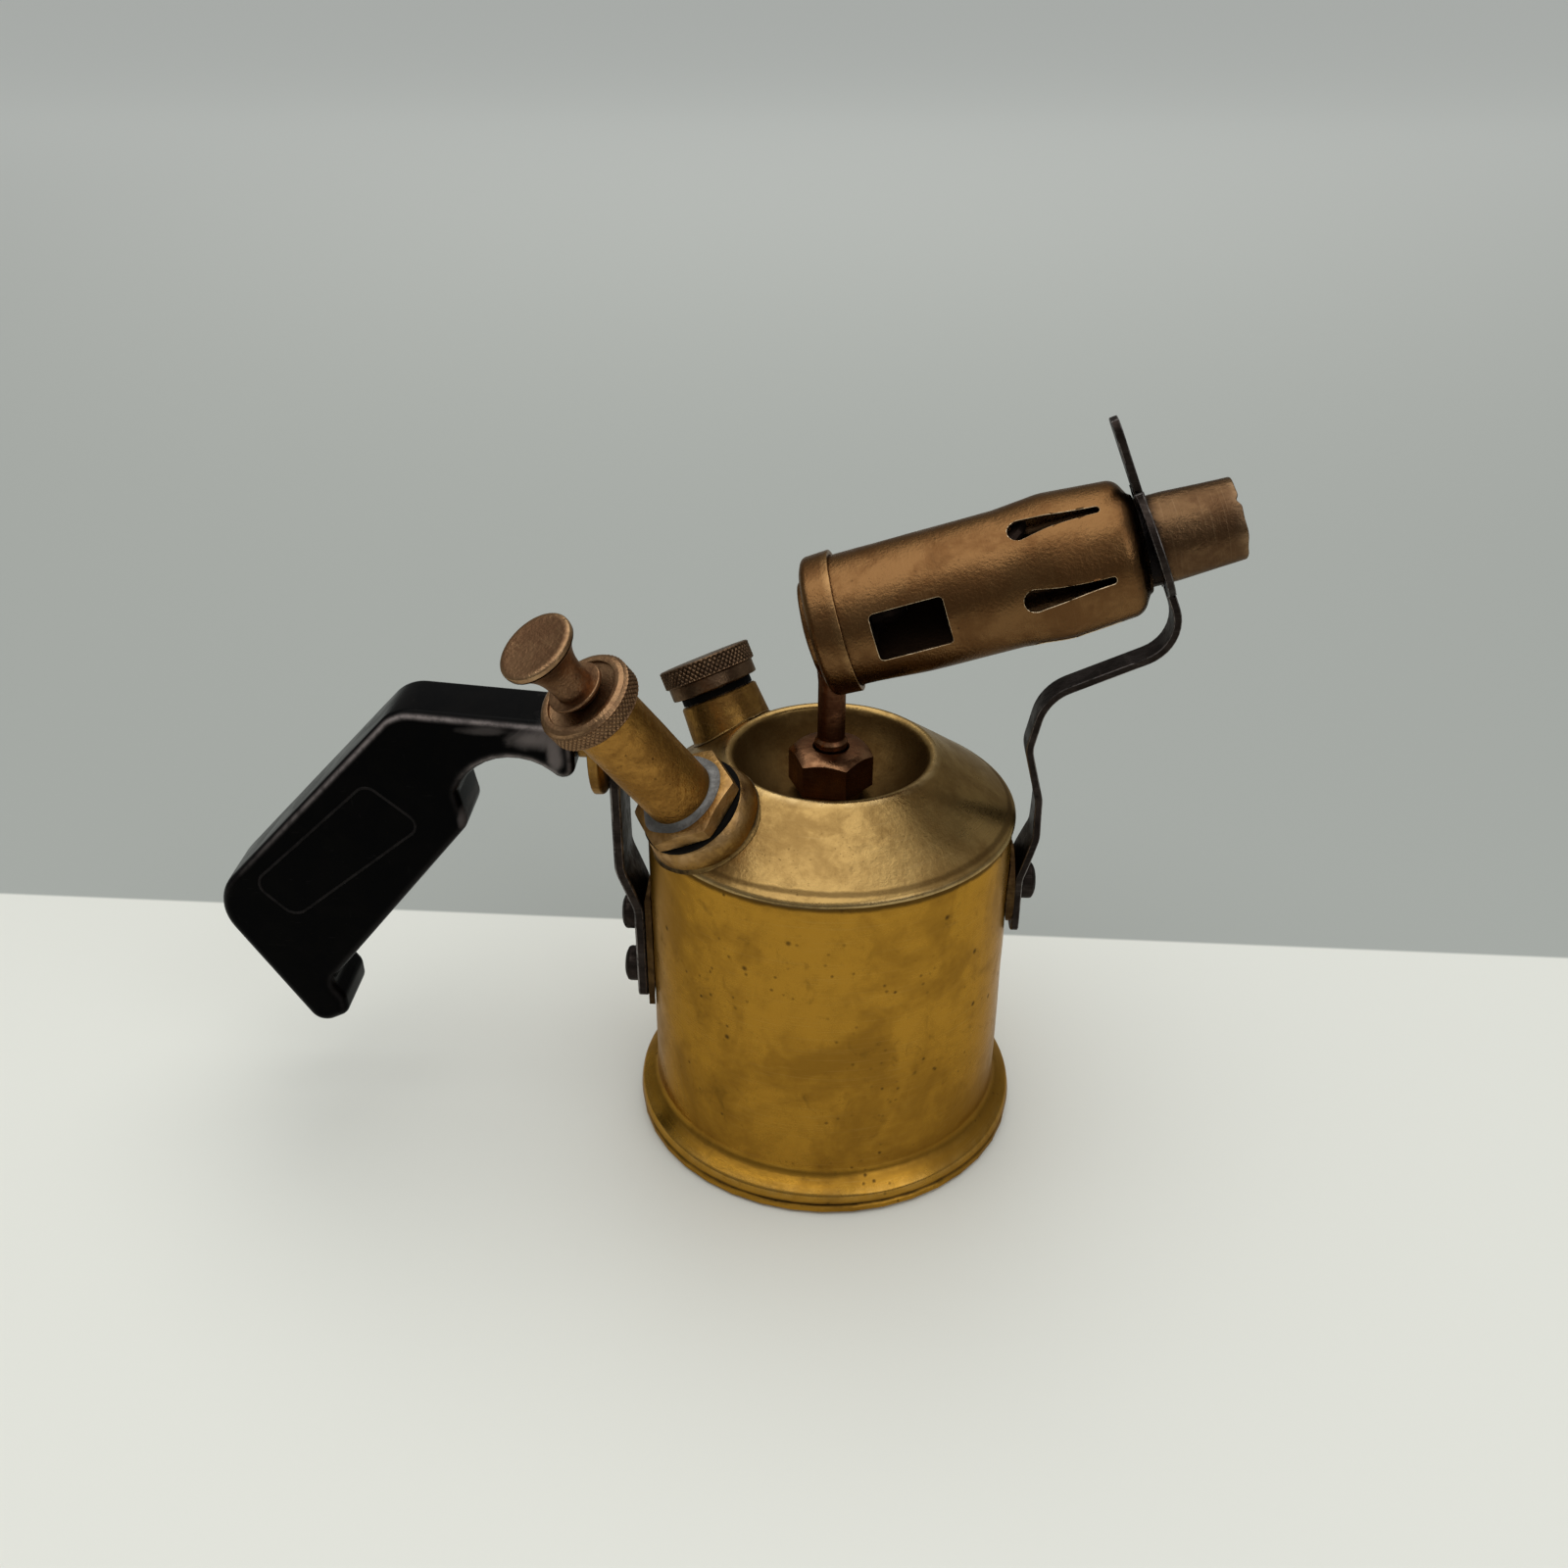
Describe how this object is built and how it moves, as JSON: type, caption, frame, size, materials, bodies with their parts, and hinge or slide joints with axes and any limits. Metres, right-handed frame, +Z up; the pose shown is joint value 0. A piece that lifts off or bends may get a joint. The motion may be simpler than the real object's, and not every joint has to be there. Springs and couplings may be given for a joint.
{
  "type": "paraffin blow lamp",
  "caption": "Brass hand blow lamp: round tank, priming bowl, slanting slotted burner on a steel strap, leaning hand pump, filler cap and pistol grip.",
  "frame": {"origin": "centre of the tank's underside, on the plane it stands on", "axes": "+Z up along the tank's axis, +X the way the burner points, the grip on -X, the pump leaning out to -X and -Y"},
  "size_m": [0.2292, 0.0953, 0.173],
  "materials": {
    "aged_brass": "aged, olive-gold patina with small dark spots",
    "shoulder_brass": "paler, finely pitted",
    "heat_brass": "heat-toned red-brown, orange-peel skin",
    "red_brass": "dark red-brown, heat-toned",
    "copper_brown": "copper-brown, knurled rims",
    "dark_steel": "dark, worn at its edges",
    "black_seal": "matt black washer",
    "leather": "oiled",
    "bakelite": "gloss black, worn bright edges"
  },
  "bodies": {
    "lamp": {"tank_body": "aged_brass", "tank_base": "aged_brass", "tank_top": "shoulder_brass", "riser_socket": "aged_brass", "burner_nut": "red_brass", "riser_pipe": "red_brass", "pickup_tube": "aged_brass", "burner_end_cap": "heat_brass", "vaporiser_head": "red_brass", "jet_nipple": "aged_brass", "vaporiser_loop": "red_brass", "burner_cover": "heat_brass", "flame_tube": "heat_brass", "support_strap": "dark_steel", "handle_strap": "dark_steel", "support_boss": "aged_brass", "handle_pad": "aged_brass", "support_screw": "dark_steel", "handle_screw_upper": "dark_steel", "handle_screw_lower": "dark_steel", "grip": "bakelite", "grip_collar": "aged_brass", "grip_bolt": "dark_steel", "pump_boss": "aged_brass", "pump_gasket": "black_seal", "pump_hex": "aged_brass", "pump_barrel": "aged_brass", "pump_cap": "copper_brown", "valve_body": "aged_brass", "valve_retainer": "aged_brass", "valve_spring": "dark_steel", "filler_neck": "aged_brass"},
    "plunger": {"pump_knob": "copper_brown", "pump_rod": "dark_steel", "pump_piston": "aged_brass", "pump_leather": "leather", "pump_nut": "aged_brass"},
    "check_valve": {"valve_pad": "leather"},
    "cap_washer": {"filler_gasket": "black_seal"},
    "filler_screw_cap": {"filler_cap": "copper_brown"}
  },
  "joints": [
    {"name": "pump_stroke", "type": "slide", "parent": "lamp", "child": "plunger", "axis": [-0.4714, -0.3463, 0.8111], "range_m": [0, 0.06]},
    {"name": "valve_lift", "type": "slide", "parent": "lamp", "child": "check_valve", "axis": [0.4714, 0.3463, -0.8111], "range_m": [0, 0.001], "stiffness_N_per_m": 50, "springref_m": -0.001},
    {"name": "cap_rise", "type": "slide", "parent": "lamp", "child": "cap_washer", "axis": [-0.3853, 0.3349, 0.8599], "range_m": [0, 0.0045]},
    {"name": "cap_turn", "type": "hinge", "parent": "cap_washer", "child": "filler_screw_cap", "pos_m": [-0.02395, 0.02082, 0.09166], "axis": [-0.3853, 0.3349, 0.8599], "range_deg": [0, 1080]}
  ],
  "couplings": [
    {"joint": "cap_rise", "follows": "cap_turn", "m_per_rad": 0.00023873}
  ]
}
